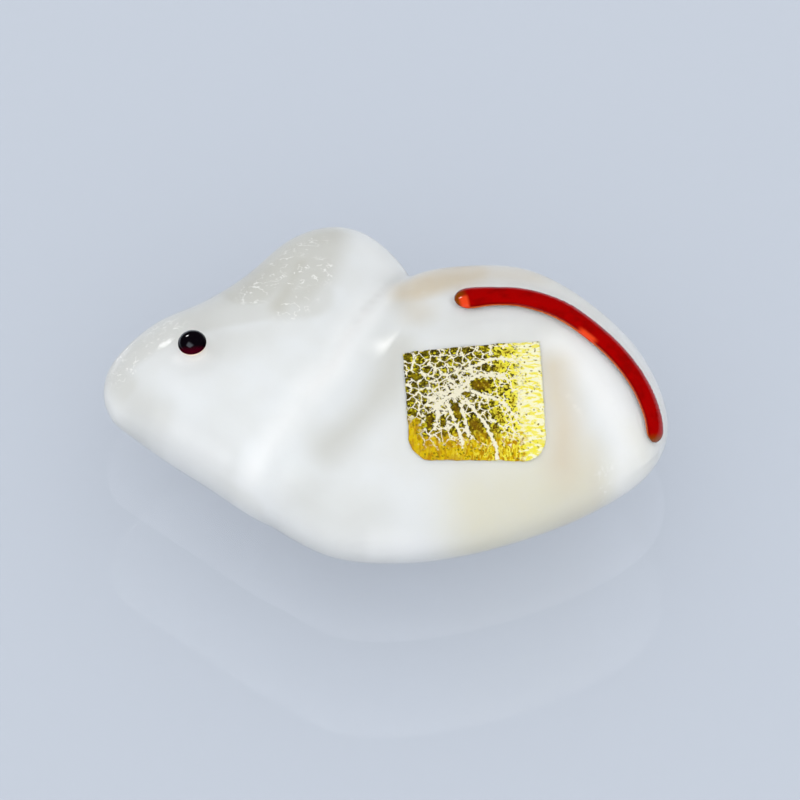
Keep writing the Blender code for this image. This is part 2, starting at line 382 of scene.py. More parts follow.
def line_object(name: str, lines: list[np.ndarray],
                extra: dict[str, list[float]] | None = None) -> bpy.types.Object:
    """Object of bare edges, as a guide for a recipe.

    Args:
        name: The object's name.
        lines: Points of each line, in millimetres, seen from above.
        extra: Numbers for the points by attribute name.

    Returns:
        The new object.
    """
    mesh = bmesh.new()
    layers = {key: mesh.verts.layers.float.new(key) for key in extra or {}}
    count = 0
    for line in lines:
        corners = []
        for x, y in line:
            corner = mesh.verts.new((x * MM, y * MM, 0))
            for key, layer in layers.items():
                corner[layer] = extra[key][count]
            corners.append(corner)
            count += 1
        for start, end in zip(corners, corners[1:]):
            mesh.edges.new((start, end))
    return mesh_object(name, mesh)


def discard(*things: bpy.types.Object) -> None:
    """Deletes guides that have done their work."""
    for thing in things:
        bpy.data.objects.remove(thing)


def seat(piece: bpy.types.Object, node: str) -> None:
    """Puts a finished piece on the rat.

    Args:
        piece: The finished piece.
        node: CAD node that it stands for.
    """
    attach(piece, BODY)
    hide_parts(node)
    LOG.info("%s: %d faces", piece.name, len(piece.data.polygons))


def smooth_curve(knots: tuple[Place, ...], steps: int, closed: bool = False) -> np.ndarray:
    """Points of a Catmull-Rom curve.

    Args:
        knots: The points that it passes through.
        steps: Points for each stretch between knots.
        closed: Whether it runs back to its start.

    Returns:
        The curve's points, in the knots' unit.
    """
    points = np.array(knots, float)
    if closed:
        padded = np.vstack([points[-1], points, points[:2]])
    else:
        padded = np.vstack([2 * points[0] - points[1], points, 2 * points[-1] - points[-2]])
    share = np.linspace(0, 1, steps, endpoint=False)[:, None]
    pieces = []
    for before, start, end, after in zip(padded, padded[1:], padded[2:], padded[3:]):
        slope = (end - before) / 2
        next_slope = (after - start) / 2
        bend = 3 * (end - start) - 2 * slope - next_slope
        twist = 2 * (start - end) + slope + next_slope
        pieces.append(start + slope * share + bend * share**2 + twist * share**3)
    if not closed:
        pieces.append(points[-1:])
    return np.vstack(pieces)


def rounding(distance: np.ndarray, reach: float) -> np.ndarray:
    """Share of the full width at a distance from a rounded end."""
    return np.sqrt(1 - (1 - np.clip(distance / reach, 0, 1)) ** 2)


@dataclass(frozen=True)
class Gather:
    """One rounded mass of glass, by its outline from above and its half width along its length."""

    outline: tuple[Place, ...]
    half_widths: tuple[Place, ...]
    front_round: float
    rear_round: float
    curve_steps: int = 12

    def sides(self) -> tuple[np.ndarray, np.ndarray]:
        """The belly's and the back's curve, each from front to rear.

        Returns:
            Rows of x and y for each side, in millimetres.
        """
        curve = smooth_curve(self.outline, self.curve_steps, closed=True)
        curve = np.roll(curve, -int(curve[:, 0].argmin()), axis=0)
        rear = int(curve[:, 0].argmax())
        return np.vstack([curve[rear:], curve[:1]])[::-1], curve[: rear + 1]

    def edges(self, x: np.ndarray) -> tuple[np.ndarray, np.ndarray, np.ndarray]:
        """The belly's and the back's edge at each x, and whether the gather reaches there."""
        belly, back = self.sides()
        return np.interp(x, *belly.T), np.interp(x, *back.T), (x > back[0, 0]) & (x < back[-1, 0])

    def height(self, x: np.ndarray, y: np.ndarray) -> np.ndarray:
        """Height of the gather's surface over the sagittal plane at places seen from above.

        Args:
            x: Distances along the rat, in millimetres.
            y: Distances across it, in millimetres.

        Returns:
            A height for each place, in millimetres.
        """
        low, high, reached = self.edges(x)
        back = self.sides()[1]
        across = np.divide(2 * y - low - high, high - low, out=np.ones_like(y), where=reached)
        ends = rounding(x - back[0, 0], self.front_round) * rounding(back[-1, 0] - x, self.rear_round)
        widths = np.interp(x, *smooth_curve(self.half_widths, self.curve_steps).T)
        return widths * ends * np.sqrt(np.clip(1 - across**2, 0, 1))


@dataclass
class RatForm:
    """The rat's smooth outer surface: the head's and the body's gather, run together at the neck."""

    head: Gather = Gather(
        outline=(
            (-28.0, 0.0), (-26.9, 3.5), (-23.0, 7.4), (-18.0, 10.2), (-14.0, 13.35), (-9.6, 18.0),
            (-5.2, 19.8), (-1.2, 18.5), (2.5, 13.9), (3.4, 8.5), (3.0, 0.5), (-0.5, -8.5), (-5.5, -15.2),
            (-11.2, -15.3), (-18.5, -9.7), (-24.6, -5.0), (-27.1, -3.0),
        ),
        half_widths=((-28.0, 4.4), (-20.0, 5.9), (-11.0, 6.6), (3.4, 5.4)),
        front_round=8.0,
        rear_round=14.0,
    )
    body: Gather = Gather(
        outline=(
            (-0.8, 9.6), (2.9, 13.45), (8.5, 14.6), (14.5, 14.0), (20.5, 9.9), (25.6, 3.9), (28.1, -3.6),
            (26.2, -9.2), (20.0, -13.7), (11.5, -17.5), (3.0, -19.5), (-4.8, -19.2), (-11.2, -15.3),
            (-12.8, -12.4), (-8.9, -4.4), (-4.4, 4.0),
        ),
        half_widths=((-12.8, 5.8), (0.0, 7.5), (14.0, 7.5), (28.1, 6.0)),
        front_round=17.0,
        rear_round=11.0,
    )
    underside: tuple[Place, ...] = (
        (-28.0, 0.58), (-20.0, 0.78), (-11.0, 0.88), (1.0, 0.98), (14.0, 1.0), (28.1, 0.8),
    )
    neck_blend: float = 3.4
    sagittal_height: float = 7.1
    deepest: float = 9.1
    stations: int = 150
    section_points: int = 128
    voxel: float = 0.36
    smoothing: int = 30
    smoothing_strengths: Place = (0.5, -0.52)
    nearby: int = 12
    points: np.ndarray = field(init=False)
    normals: np.ndarray = field(init=False)
    faces: list[tuple[int, ...]] = field(init=False)

    def __post_init__(self) -> None:
        """Makes the even, smooth surface that every piece is laid on."""
        data = self.even_mesh(self.rough_mesh())
        self.faces = [tuple(face.vertices) for face in data.polygons]
        self.points = self.smoothed(data)
        data.vertices.foreach_set("co", self.points.ravel())
        data.update()
        normals = np.zeros(len(data.vertices) * 3)
        data.vertices.foreach_get("normal", normals)
        self.normals = normals.reshape(-1, 3)
        bpy.data.meshes.remove(data)

    def height(self, x: np.ndarray, y: np.ndarray) -> np.ndarray:
        """Height over the sagittal plane, rounded where the two gathers meet, in millimetres.

        Args:
            x: Distances along the rat, in millimetres.
            y: Distances across it, in millimetres.

        Returns:
            A height for each place.
        """
        head = self.head.height(x, y)
        body = self.body.height(x, y)
        blend = np.maximum(np.minimum(self.neck_blend, np.minimum(head, body)), 1e-6)
        return np.maximum(head, body) + np.clip(blend - abs(head - body), 0, None) ** 2 / (4 * blend)

    def rough_mesh(self) -> bmesh.types.BMesh:
        """Closed mesh lofted through sections across the rat's length.

        Returns:
            The mesh, in metres.
        """
        nose = self.head.sides()[1][0]
        rump = self.body.sides()[1][-1]
        steps = np.cos(np.linspace(0, np.pi, self.stations + 2)[1:-1])
        x = (nose[0] + rump[0]) / 2 - (rump[0] - nose[0]) / 2 * steps
        lows, highs, reached = zip(*(gather.edges(x) for gather in (self.head, self.body)))
        low = np.where(reached, lows, np.inf).min(axis=0)[:, None]
        high = np.where(reached, highs, -np.inf).max(axis=0)[:, None]
        turn = np.arange(self.section_points) * 2 * np.pi / self.section_points
        y = (low + high) / 2 + (high - low) / 2 * np.cos(turn)
        wide = np.repeat(x[:, None], self.section_points, axis=1)
        ends = rounding(x - nose[0], self.head.front_round) * rounding(rump[0] - x, self.body.rear_round)
        fullness = np.interp(x, *smooth_curve(self.underside, self.head.curve_steps).T)
        under = (self.deepest * fullness * ends)[:, None] * np.sin(turn)
        lift = np.where(np.sin(turn) > 0, self.height(wide, y), under)
        sections = np.stack([wide, y, self.sagittal_height + lift], axis=-1) * MM
        tips = [(tip[0] * MM, tip[1] * MM, self.sagittal_height * MM) for tip in (nose, rump)]
        return loft(sections, tips)

    def even_mesh(self, mesh: bmesh.types.BMesh) -> bpy.types.Mesh:
        """Mesh of even small faces over the lofted one.

        Args:
            mesh: The lofted mesh, which is freed.

        Returns:
            The even mesh.
        """
        thing = mesh_object("rat_form", mesh)
        remesh = thing.modifiers.new("even", "REMESH")
        remesh.mode = "VOXEL"
        remesh.voxel_size = self.voxel * MM
        data = settle(thing).data
        discard(thing)
        return data

    def smoothed(self, data: bpy.types.Mesh) -> np.ndarray:
        """The mesh's points after smoothing that keeps the volume.

        Args:
            data: The even mesh.

        Returns:
            A row of x, y and z for each point, in metres.
        """
        points = np.array([vertex.co for vertex in data.vertices])
        first, second = np.array([edge.vertices for edge in data.edges]).T
        count = np.bincount(first, minlength=len(points)) + np.bincount(second, minlength=len(points))
        for _ in range(self.smoothing):
            for strength in self.smoothing_strengths:
                total = np.zeros_like(points)
                for axis in range(3):
                    total[:, axis] = np.bincount(first, points[second, axis], len(points))
                    total[:, axis] += np.bincount(second, points[first, axis], len(points))
                points = points + strength * (total / count[:, None] - points)
        return points

    def skin(self, depth: float | np.ndarray) -> bmesh.types.BMesh:
        """The surface sunk by a depth and cut off at the table.

        Args:
            depth: How far under the outer surface, in millimetres, everywhere or for each point.

        Returns:
            A mesh that is open where it is ground flat.
        """
        mesh = bmesh.new()
        depths = np.broadcast_to(depth, len(self.points))[:, None]
        corners = [mesh.verts.new(point) for point in self.points - self.normals * depths * MM]
        for face in self.faces:
            mesh.faces.new([corners[i] for i in face])
        geometry = list(mesh.verts) + list(mesh.edges) + list(mesh.faces)
        bmesh.ops.bisect_plane(mesh, geom=geometry, dist=1e-7, plane_co=(0, 0, 0), plane_no=(0, 0, -1),
                               clear_outer=True)
        return mesh

    def touch(self, place: Place) -> tuple[Vector, Vector]:
        """Point and normal of the upper flank.

        Args:
            place: Place seen from above, in millimetres.

        Returns:
            The point in metres and the normal.
        """
        mesh = self.skin(0.0)
        tree = BVHTree.FromBMesh(mesh)
        mesh.free()
        point, _, _, _ = tree.ray_cast(Vector((*place, 1 / MM)) * MM, Vector((0, 0, -1)))
        nearest = np.argsort(((self.points - np.array(point)) ** 2).sum(axis=1))[: self.nearby]
        return point, Vector(self.normals[nearest].mean(axis=0)).normalized()


def loft(sections: np.ndarray, tips: list[tuple[float, float, float]]) -> bmesh.types.BMesh:
    """Closed mesh through sections, with a point at each end.

    Args:
        sections: Points by section and by place round it, in metres.
        tips: The point before the first section and the one after the last.

    Returns:
        The mesh, with its faces outwards.
    """
    mesh = bmesh.new()
    rings = [[mesh.verts.new(point) for point in section] for section in sections]
    for ring, following in zip(rings, rings[1:]):
        for i in range(len(ring)):
            mesh.faces.new((ring[i], ring[i - 1], following[i - 1], following[i]))
    for tip, ring in zip(tips, (rings[0], rings[-1])):
        pole = mesh.verts.new(tip)
        for i in range(len(ring)):
            mesh.faces.new((pole, ring[i], ring[i - 1]))
    bmesh.ops.recalc_face_normals(mesh, faces=mesh.faces)
    return mesh


def grind(mesh: bmesh.types.BMesh) -> bmesh.types.BMesh:
    """Closes a mesh underneath with the flat that it is ground to.

    Args:
        mesh: A mesh that is open where the table cuts it.

    Returns:
        The same mesh, closed.
    """
    edges = [edge for edge in mesh.edges if edge.is_boundary]
    bmesh.ops.triangle_fill(mesh, use_beauty=True, edges=edges, normal=(0, 0, -1))
    return mesh


def band(places: np.ndarray, line: tuple[Place, ...], half_width: float, softness: float) -> np.ndarray:
    """Soft band along a line.

    Args:
        places: Rows of x and y, seen from above, in millimetres.
        line: Points of the line, in millimetres.
        half_width: Distance from the line at which the band has faded by half.
        softness: Reach of the fade to each side of that.

    Returns:
        A share from 0 to 1 for each place.
    """
    gap = np.full(len(places), np.inf)
    knots = np.array(line)
    for start, end in zip(knots, knots[1:]):
        run = end - start
        share = np.clip((places - start) @ run / max(run @ run, MM), 0, 1)[:, None]
        gap = np.minimum(gap, np.linalg.norm(places - start - share * run, axis=1))
    reach = np.clip((half_width + softness - gap) / (2 * softness), 0, 1)
    return reach**2 * (3 - 2 * reach)


class Tone(Enum):
    """Tones on the opal glass, painted light and shade among them, each kept on the body as an attribute of
    this name.
    """

    PAINTED_LIGHT = "painted_light"
    SMOKE = "painted_shade"
    STRAW = "straw"
    TAN = "warm_painted_shade"
    SCUFF = "scuff"


@dataclass(frozen=True)
class Stroke:
    """Soft band of a tone along a line on the flank, seen from above, in millimetres."""

    line: tuple[Place, ...]
    half_width: float
    softness: float
    strength: float

    def cover(self, places: np.ndarray) -> np.ndarray:
        """How much of the tone each place has, from 0 to the stroke's strength."""
        return self.strength * band(places, self.line, self.half_width, self.softness)


STROKES: dict[Tone, tuple[Stroke, ...]] = {
    # Painted light: a bright band down the neck valley and round the rump, thin highlights at the nose and
    # the lower edge, and paler patches that make up for shade under the eye and along the belly.
    Tone.PAINTED_LIGHT: (
        Stroke(((0.2, 9.4), (-1.4, 7.2), (-3.3, 3.8), (-5.1, -0.6), (-7.6, -3.8)), 1.4, 1.7, 1.0),
        Stroke(((-7.6, -3.8), (-10.0, -7.6), (-12.6, -11.0)), 1.1, 1.8, 0.85),
        Stroke(((-1.9, 16.0), (0.9, 12.6)), 1.2, 1.6, 0.3),
        Stroke(((17.1, 1.4), (20.0, -1.6), (22.1, -4.8), (24.2, -8.0), (22.9, -11.7)), 1.5, 1.5, 0.75),
        Stroke(((25.0, -6.0), (25.6, -9.0)), 0.8, 1.2, 0.5),
        Stroke(((17.7, -4.2), (18.4, -5.3), (19.4, -6.7)), 0.05, 0.07, 1.0),
        Stroke(((-26.6, 1.4), (-26.0, 2.4), (-25.0, 3.4)), 0.18, 0.14, 1.0),
        Stroke(((-20.4, -7.1), (-18.8, -8.3), (-17.2, -9.5)), 0.12, 0.12, 1.0),
        Stroke(((-22.2, -4.4), (-20.4, -6.0), (-18.0, -7.8), (-15.6, -9.6)), 0.6, 0.8, 0.4),
        Stroke(((-1.0, -18.5), (4.0, -18.8), (9.0, -18.1)), 0.8, 0.8, 0.6),
        Stroke(((-20.3, 0.4), (-19.1, 0.0), (-17.9, 0.4)), 0.5, 0.6, 0.7),
    ),
    # Painted shade: grey where the head's top and the ear face away from the light, along the neck crease,
    # at the nose and in a thin line along the lower edge.
    Tone.SMOKE: (
        Stroke(((-27.0, 3.6), (-26.6, 0.8), (-25.4, -1.2)), 1.1, 0.7, 0.5),
        Stroke(((-26.2, -0.8), (-24.2, -2.8), (-21.6, -4.4)), 0.9, 1.2, 0.36),
        Stroke(((-8.4, -13.6), (-5.0, -16.2), (-0.6, -16.6)), 1.6, 1.6, 0.24),
        Stroke(((-26.6, 3.6), (-23.8, 4.8), (-18.2, 7.0), (-12.5, 7.9), (-8.6, 8.4)), 3.4, 0.6, 0.42),
        Stroke(((-13.2, 10.0), (-10.4, 13.8), (-7.6, 17.6)), 3.4, 1.1, 0.8),
        Stroke(((-8.8, 8.6), (-7.2, 12.0), (-6.2, 17.0)), 2.3, 1.3, 0.75),
        Stroke(((-10.6, 6.4), (-9.4, 9.6), (-8.4, 12.6)), 1.2, 1.4, 1.0),
        Stroke(((1.4, 0.6), (0.7, -2.4), (-0.9, -5.6), (-3.2, -8.2), (-5.5, -10.2)), 1.5, 2.0, 0.65),
        Stroke(((2.4, 6.8), (3.4, 4.6)), 1.0, 1.6, 0.45),
        Stroke(((-17.0, 1.4), (-12.6, 3.2)), 1.5, 1.5, 0.2),
        Stroke(((-24.2, -4.2), (-18.0, -9.0), (-10.6, -14.7), (-5.0, -18.5)), 0.1, 0.25, 0.4),
    ),
    Tone.STRAW: (
        Stroke(((10.0, -16.4), (14.0, -15.6), (18.6, -13.2)), 3.8, 3.3, 0.95),
        Stroke(((15.0, 11.6), (18.4, 9.9), (21.6, 7.4)), 1.2, 1.4, 0.35),
        Stroke(((24.6, -7.0), (25.6, -9.0), (24.0, -11.0)), 1.2, 1.4, 0.3),
    ),
    # Painted shade in warm brown: on the back behind the ear, and the leaf's shadow in the body below and
    # to the right of it.
    Tone.TAN: (
        Stroke(((3.0, 9.2), (5.0, 10.2), (8.5, 11.8)), 2.2, 1.3, 1.0),
        Stroke(((2.5, 7.6), (3.4, 5.4)), 1.4, 1.6, 0.4),
        Stroke(((8.5, 12.0), (14.5, 11.6)), 1.8, 1.4, 0.5),
        Stroke(((16.6, -1.6), (17.0, -5.0), (17.6, -8.0), (17.4, -11.0)), 1.3, 2.3, 0.95),
        Stroke(((19.6, -8.6), (20.6, -12.6)), 0.6, 1.8, 0.4),
    ),
    Tone.SCUFF: (
        Stroke(((-12.8, 8.6), (-9.5, 10.8), (-6.5, 11.6)), 1.8, 0.6, 1.0),
        Stroke(((-11.0, 12.6), (-8.6, 14.6), (-6.6, 16.4)), 0.8, 0.6, 1.0),
        Stroke(((-9.8, 5.6), (-8.0, 7.4)), 1.1, 0.5, 1.0),
        Stroke(((-25.6, 0.6), (-24.0, 2.8), (-21.0, 5.2)), 1.3, 0.6, 1.0),
        Stroke(((2.7, 8.6), (4.1, 9.1)), 0.6, 0.4, 1.0),
        Stroke(((21.6, -11.2), (23.8, -8.6)), 0.9, 0.7, 0.7),
    ),
}


@dataclass(frozen=True)
class OpalGlass:
    """Milky glass of the body, in the tones of its strokes, painted light and shade among them, with fine
    white scuffs near its surface.
    """

    body: Colour = under_glass(219, 223, 225)
    haze: Colour = under_glass(214, 217, 217)
    tones: tuple[tuple[Tone, Colour], ...] = (
        (Tone.PAINTED_LIGHT, under_glass(251, 254, 255)),
        (Tone.SMOKE, under_glass(178, 177, 168)),
        (Tone.STRAW, under_glass(210, 206, 182)),
        (Tone.TAN, under_glass(198, 184, 162)),
    )
    scuff: Colour = (0.92, 0.92, 0.9)
    roughness: float = 0.6
    scatter_depth: float = 0.9

    def material(self) -> bpy.types.Material:
        """Builds the shader.

        Returns:
            The finished material.
        """
        finish = Finish("opal_glass")
        place = finish.place()
        colour = finish.mix(finish.remap(finish.noise(place, 0.16, 3.0), 0.4, 0.62), self.haze, self.body)
        cloud = finish.remap(finish.noise(place, 0.3, 3.0), 0.3, 0.6, 0.88, 1.0)
        # Some of these tones are painted light and painted shade.
        for tone, tint in self.tones:
            cover = finish.times(finish.attribute(tone.value), cloud)
            colour = finish.mix(cover, colour, tint)
        scratched = self.scratches(finish, place)
        colour = finish.mix(scratched, colour, self.scuff)
        finish.set(Base_Color=colour, Roughness=self.roughness, Specular_IOR_Level=0.0)
        finish.set(Subsurface_Weight=finish.minus(1.0, scratched))
        finish.set(Subsurface_Radius=(1.0, 1.0, 1.0), Subsurface_Scale=self.scatter_depth * MM)
        return finish.material

    def scratches(self, finish: Finish, place: Socket) -> Socket:
        """Mask of fine curled scratches where the body is scuffed.

        Args:
            finish: The finish that is wired up.
            place: Place on the object.

        Returns:
            The mask's socket.
        """
        curl = finish.noise(place, 0.9, 2.0)
        line = finish.remap(finish.math("ABSOLUTE", finish.minus(curl, 0.5)), 0.023, 0.01)
        broken = finish.remap(finish.noise(place, 1.3, 1.0), 0.46, 0.52)
        cover = finish.times(finish.times(line, broken), finish.attribute(Tone.SCUFF.value))
        return finish.times(cover, 0.85)


@dataclass(frozen=True)
class ClearGlass:
    """Fire-polished clear glass, faintly wavy."""

    tint: Colour = (0.995, 0.998, 1.0)
    refraction: float = 1.5
    roughness: float = 0.14
    wave: float = 0.02

    def material(self) -> bpy.types.Material:
        """Builds the shader.

        Returns:
            The finished material.
        """
        finish = Finish("clear_glass")
        finish.set(Base_Color=self.tint, Roughness=self.roughness, IOR=self.refraction)
        finish.set(Transmission_Weight=1.0)
        finish.bump(finish.noise(finish.place(), 0.35, 3.0), 0.5, self.wave)
        return finish.material


@dataclass(frozen=True)
class RedGlass:
    """Glossy deep red glass that thins to amber in a fine line along its edges and to olive at its ends,
    with orange reflections painted on.
    """

    deep: Colour = srgb(131, 0, 0)
    dark: Colour = srgb(100, 1, 0)
    # Orange of the painted reflections on the trail.
    painted_glint: Colour = srgb(190, 56, 24)
    amber: Colour = srgb(186, 92, 40)
    olive: Colour = srgb(104, 50, 2)
    roughness: float = 0.03
    wave: float = 0.03
    painted_glints: tuple[tuple[float, ...], ...] = ((0.53, 0.05, -0.56, -0.86), (0.03, 0.022, 0.1, -0.3))

    def material(self) -> bpy.types.Material:
        """Builds the shader.

        Returns:
            The finished material.
        """
        finish = Finish("red_glass")
        across = finish.attribute("side")
        side = finish.math("ABSOLUTE", across)
        share = finish.attribute("share")
        stain = finish.noise(finish.place(), 0.7)
        colour = finish.mix(finish.remap(stain, 0.45, 0.7, 0.0, 0.5), self.deep, self.dark)
        colour = finish.mix(finish.remap(side, 0.8, 0.93, 0.0, 0.8), colour, self.dark)
        colour = finish.mix(finish.remap(side, 0.955, 0.995, 0.0, 0.9), colour, self.amber)
        root = finish.remap(share, 0.052, 0.016, 0.0, 0.9)
        tip = finish.remap(share, 0.962, 0.99, 0.0, 0.9)
        colour = finish.mix(finish.most(root, tip), colour, self.olive)
        # Painted reflections: orange streaks along the trail's lower edge and at its root, each a stretch
        # along the trail and a band across it.
        for middle, half_length, start, end in self.painted_glints:
            away = finish.math("ABSOLUTE", finish.minus(share, middle))
            along = finish.remap(away, half_length, half_length / 3)
            thin = finish.times(along, finish.remap(across, start, end))
            colour = finish.mix(thin, colour, self.painted_glint)
        finish.set(Base_Color=colour, Roughness=self.roughness)
        finish.bump(finish.noise(finish.place(), 0.5, 2.0), 0.3, self.wave)
        return finish.material


@dataclass(frozen=True)
class BlackGlass:
    """Black glass bead with painted light: a dark red glow low on its front, where light passes through it,
    and a thin pale ring of light round its base.
    """

    refraction: float = 2.4
    roughness: float = 0.02
    deep: Colour = (0.001, 0.0, 0.001)
    glow: Colour = srgb(48, 0, 12)
    painted_rim_light: Colour = srgb(250, 226, 204)

    def material(self) -> bpy.types.Material:
        """Builds the shader.

        Returns:
            The finished material.
        """
        finish = Finish("black_glass")
        glow = finish.attribute("glow")
        edge = finish.attribute("edge")
        # Painted light: a dark red glow on the bead's front side and a pale ring of light round its base.
        colour = finish.mix(finish.remap(glow, 0.4, 0.85), self.deep, self.glow)
        colour = finish.mix(finish.remap(edge, 0.64, 0.74), colour, self.painted_rim_light)
        finish.set(Base_Color=colour, Roughness=self.roughness, IOR=self.refraction)
        finish.set(Specular_IOR_Level=finish.remap(edge, 0.2, 0.42, 0.5, 0.0))
        return finish.material


@dataclass(frozen=True)
class Gold:
    """Crackled gold leaf under glass with its metal's reflections painted in: dark cells in a pale net,
    amber low down, lemon at the rear.
    """

    dark: Colour = under_glass(34, 26, 0)
    olive: Colour = under_glass(96, 84, 0)
    brown: Colour = under_glass(112, 74, 0)
    fleck: Colour = under_glass(184, 168, 20)
    amber: Colour = under_glass(150, 100, 0)
    honey: Colour = under_glass(192, 150, 0)
    bright: Colour = under_glass(238, 218, 50)
    pale: Colour = under_glass(250, 246, 190)
    cream: Colour = under_glass(242, 231, 194)
    metal: float = 0.1
    roughness: float = 0.35
    relief: float = 0.05
    grain: float = 0.16
    warps: tuple[Place, ...] = ((0.9, 0.9), (3.4, 0.3), (9.0, 0.12))
    nets: tuple[tuple[float, float, float], ...] = ((0.88, 0.075, 0.052), (0.4, 0.046, -0.026))

    def material(self) -> bpy.types.Material:
        """Builds the shader.

        Returns:
            The finished material.
        """
        finish = Finish("gold_leaf")
        place = finish.attribute("leaf_place", Kind.VECTOR)
        x, y = finish.axes(place)[:2]
        drawn = place
        for scale, reach in self.warps:
            drawn = finish.warped(drawn, scale, reach)
        tear = finish.minus(finish.noise(place, 2.6, 3.0), 0.5)
        island = finish.attribute("island")
        solid = finish.ragged(island, tear, 0.5, -0.06, 0.04)
        foot = finish.ragged(y, tear, 3.4, -3.1, -4.5)
        front = finish.times(finish.ragged(x, tear, 1.0, -5.0, -6.0), finish.remap(y, -1.2, -2.8))
        rear = finish.ragged(x, tear, 3.0, 3.8, 5.0)
        inner = finish.ragged(island, tear, 0.5, 0.1, 0.5, 0.45)
        # Painted reflection: dark cells where the metal mirrors dark surroundings, amber below, lemon and
        # white at the rear where it mirrors the lamps.
        colour = finish.mix(inner, self.cells(finish, place), self.brown)
        colour = finish.mix(finish.most(foot, front), colour, self.gilt(finish, place))
        colour = finish.mix(rear, colour, self.glare(finish, place))
        net = self.net(finish, drawn, place)
        low = finish.most(finish.ragged(y, tear, 4.0, -3.8, -5.0), front)
        closed = finish.most(solid, finish.most(low, finish.times(rear, 0.85)))
        net = finish.times(net, finish.minus(1.0, closed))
        crack = finish.ragged(finish.attribute("crack"), tear, 0.75, 0.19, 0.12)
        split = finish.times(crack, finish.remap(rear, 0.2, 1.0, 1.0, 0.3))
        colour = finish.mix(finish.most(net, split), colour, self.cream)
        finish.set(Base_Color=colour, Roughness=self.roughness, Metallic=self.metal)
        finish.set(Specular_IOR_Level=0.0)
        finish.bump(finish.noise(place, 3.2, 4.0), 0.6, self.relief)
        return finish.material

    def speckle(self, finish: Finish, place: Socket, size: float, start: object, end: object) -> Socket:
        """Mask of cells of a size in millimetres, picked at random.

        Args:
            finish: The finish that is wired up.
            place: Place in the leaf's plane.
            size: Width of a cell.
            start: Share of the cells above which a cell starts to count.
            end: Share above which it counts in full.

        Returns:
            The mask's socket.
        """
        inputs = {"Vector": place, "Scale": 1 / size}
        pick = finish.add("ShaderNodeTexVoronoi", inputs).outputs["Color"]
        return finish.remap(finish.axes(pick)[0], start, end)

    def cells(self, finish: Finish, place: Socket) -> Socket:
        """Colour of the cells: dark olive, lighter here and there, with bright flecks.

        Args:
            finish: The finish that is wired up.
            place: Place in the leaf's plane.

        Returns:
            The colour's socket.
        """
        shade = finish.remap(finish.noise(place, 1.5, 3.0), 0.36, 0.62)
        colour = finish.mix(shade, self.dark, self.olive)
        colour = finish.mix(self.speckle(finish, place, self.grain, 0.55, 0.85), colour, self.dark)
        along = finish.axes(place)[0]
        wander = finish.times(finish.noise(place, 1.3, 2.0), 3.0)
        # Painted reflection: the cells lighten and fleck yellow towards the rear, where the leaf mirrors
        # the lamps.
        lit = finish.remap(finish.plus(along, wander), 1.6, 5.6)
        rare = finish.minus(0.78, finish.times(lit, 0.62))
        flecks = self.speckle(finish, place, self.grain * 1.2, rare, finish.plus(rare, 0.12))
        return finish.mix(flecks, colour, finish.mix(lit, self.fleck, self.bright))

    def gilt(self, finish: Finish, place: Socket) -> Socket:
        """Colour of the whole leaf low down: amber, brighter towards the rear, with a drawn-out grain.

        Args:
            finish: The finish that is wired up.
            place: Place in the leaf's plane.

        Returns:
            The colour's socket.
        """
        along = finish.axes(place)[0]
        drawn = finish.vector("MULTIPLY", place, (1.0, 0.5, 1.0))
        colour = finish.mix(finish.remap(finish.noise(drawn, 2.4, 4.0), 0.4, 0.6), self.amber, self.honey)
        # Painted reflection: more bright flecks towards the rear.
        lit = finish.remap(along, -4.5, 4.0, 0.15, 1.0)
        flecks = finish.times(lit, self.speckle(finish, drawn, self.grain, 0.5, 0.75))
        colour = finish.mix(flecks, colour, self.bright)
        return finish.mix(self.speckle(finish, place, self.grain, 0.84, 0.95), colour, self.olive)

    def glare(self, finish: Finish, place: Socket) -> Socket:
        """Colour of the rear edge, where the leaf shines: lemon in white bands, with dark dots.

        Args:
            finish: The finish that is wired up.
            place: Place in the leaf's plane.

        Returns:
            The colour's socket.
        """
        drawn = finish.warped(finish.vector("MULTIPLY", place, (0.5, 1.3, 1.0)), 1.5, 0.5)
        height = finish.axes(place)[1]
        shine = finish.plus(finish.noise(drawn, 2.4, 4.0), finish.remap(height, -1.6, -5.5, 0.03, -0.04))
        colour = finish.mix(finish.remap(shine, 0.43, 0.58), self.bright, self.pale)
        return finish.mix(self.speckle(finish, place, self.grain, 0.93, 0.99), colour, self.olive)

    def net(self, finish: Finish, drawn: Socket, place: Socket) -> Socket:
        """Pale net between the cells, wide round the hub and fine away from it.

        Args:
            finish: The finish that is wired up.
            drawn: Place in the leaf's plane, warped.
            place: Place in the leaf's plane.

        Returns:
            The mask's socket.
        """
        strips = []
        for size, near, far in self.nets:
            inputs = {"Vector": drawn, "Scale": 1 / size}
            gap = finish.add("ShaderNodeTexVoronoi", inputs, feature="DISTANCE_TO_EDGE").outputs[0]
            width = finish.remap(finish.attribute("hub"), 0.3, 3.4, near, far)
            strips.append(finish.remap(finish.minus(finish.times(gap, size), width), 0.02, -0.02))
        patchy = finish.remap(finish.noise(place, 1.1, 2.0), 0.43, 0.5)
        return finish.most(strips[0], finish.times(strips[1], patchy))


